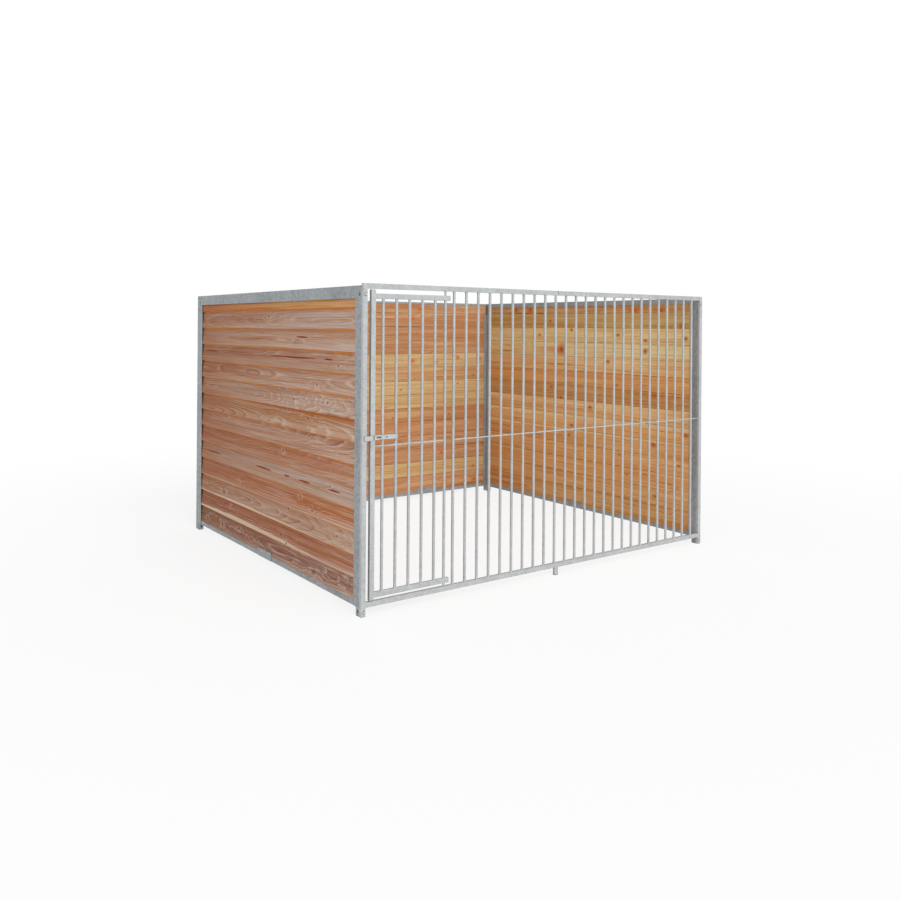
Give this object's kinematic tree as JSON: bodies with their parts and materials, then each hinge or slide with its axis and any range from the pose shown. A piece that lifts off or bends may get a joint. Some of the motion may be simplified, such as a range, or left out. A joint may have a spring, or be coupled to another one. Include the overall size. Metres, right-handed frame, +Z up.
{
  "type": "wooden dog kennel",
  "caption": "Open-topped dog run with a barred steel front, a swinging barred door with a sliding bolt, and weatherboard sides held in galvanised frames.",
  "frame": {"origin": "on the floor, under the middle of the whole run's outline", "axes": "+X along the front from the door's end to the far end, +Y from the barred front to the back wall, +Z up"},
  "size_m": [3, 2.5692, 1.87],
  "materials": {
    "galvanised_tube": "light grey hot-dip galvanised tube, satin",
    "galvanised_sheet": "mottled grey zinc with a fine spangle",
    "zinc_hardware": "bright zinc plate",
    "softwood": "sawn softwood with knots and a warm brown treatment"
  },
  "bodies": {
    "frame": {"back_corner_bolts": "zinc_hardware", "back_joint_bolts": "zinc_hardware", "back_joint_nuts": "zinc_hardware", "back_left_boards": "softwood", "back_left_bottom_rail": "galvanised_sheet", "back_left_clips": "galvanised_sheet", "back_left_inner_channel": "galvanised_sheet", "back_left_inner_post": "galvanised_sheet", "back_left_outer_channel": "galvanised_sheet", "back_left_outer_post": "galvanised_sheet", "back_left_top_cap": "galvanised_sheet", "back_right_boards": "softwood", "back_right_bottom_rail": "galvanised_sheet", "back_right_clips": "galvanised_sheet", "back_right_inner_channel": "galvanised_sheet", "back_right_inner_post": "galvanised_sheet", "back_right_outer_channel": "galvanised_sheet", "back_right_outer_post": "galvanised_sheet", "back_right_top_cap": "galvanised_sheet", "front_bars": "galvanised_tube", "front_bottom_rail": "galvanised_tube", "front_centre_foot": "galvanised_tube", "front_corner_bolts": "zinc_hardware", "front_left_post": "galvanised_tube", "front_right_post": "galvanised_tube", "front_tie_bars": "galvanised_tube", "front_top_rail": "galvanised_tube", "left_boards": "softwood", "left_bottom_rail": "galvanised_sheet", "left_clips": "galvanised_sheet", "left_front_channel": "galvanised_sheet", "left_front_post": "galvanised_sheet", "left_rear_channel": "galvanised_sheet", "left_rear_post": "galvanised_sheet", "left_top_cap": "galvanised_sheet", "right_boards": "softwood", "right_bottom_rail": "galvanised_sheet", "right_clips": "galvanised_sheet", "right_front_channel": "galvanised_sheet", "right_front_post": "galvanised_sheet", "right_rear_channel": "galvanised_sheet", "right_rear_post": "galvanised_sheet", "right_top_cap": "galvanised_sheet", "weld_nuts": "zinc_hardware"},
    "door": {"door_stile": "galvanised_tube", "door_top_rail": "galvanised_tube", "door_bottom_rail": "galvanised_tube", "door_bars": "galvanised_tube", "door_tie_bars": "galvanised_tube", "hinge_bar": "galvanised_tube", "hinge_pin_top": "zinc_hardware", "hinge_pin_bottom": "zinc_hardware", "latch_plate": "zinc_hardware", "stop_lug": "zinc_hardware"},
    "latch_bolt": {"latch_rod": "zinc_hardware", "latch_stud": "zinc_hardware"}
  },
  "joints": [
    {"name": "door_hinge", "type": "hinge", "parent": "frame", "child": "door", "pos_m": [-0.92, -1.26565, 0], "axis": [0, 0, 1], "range_deg": [0, 150]},
    {"name": "bolt_slide", "type": "slide", "parent": "door", "child": "latch_bolt", "axis": [-1, 0, 0], "range_m": [0, 0.028]}
  ]
}
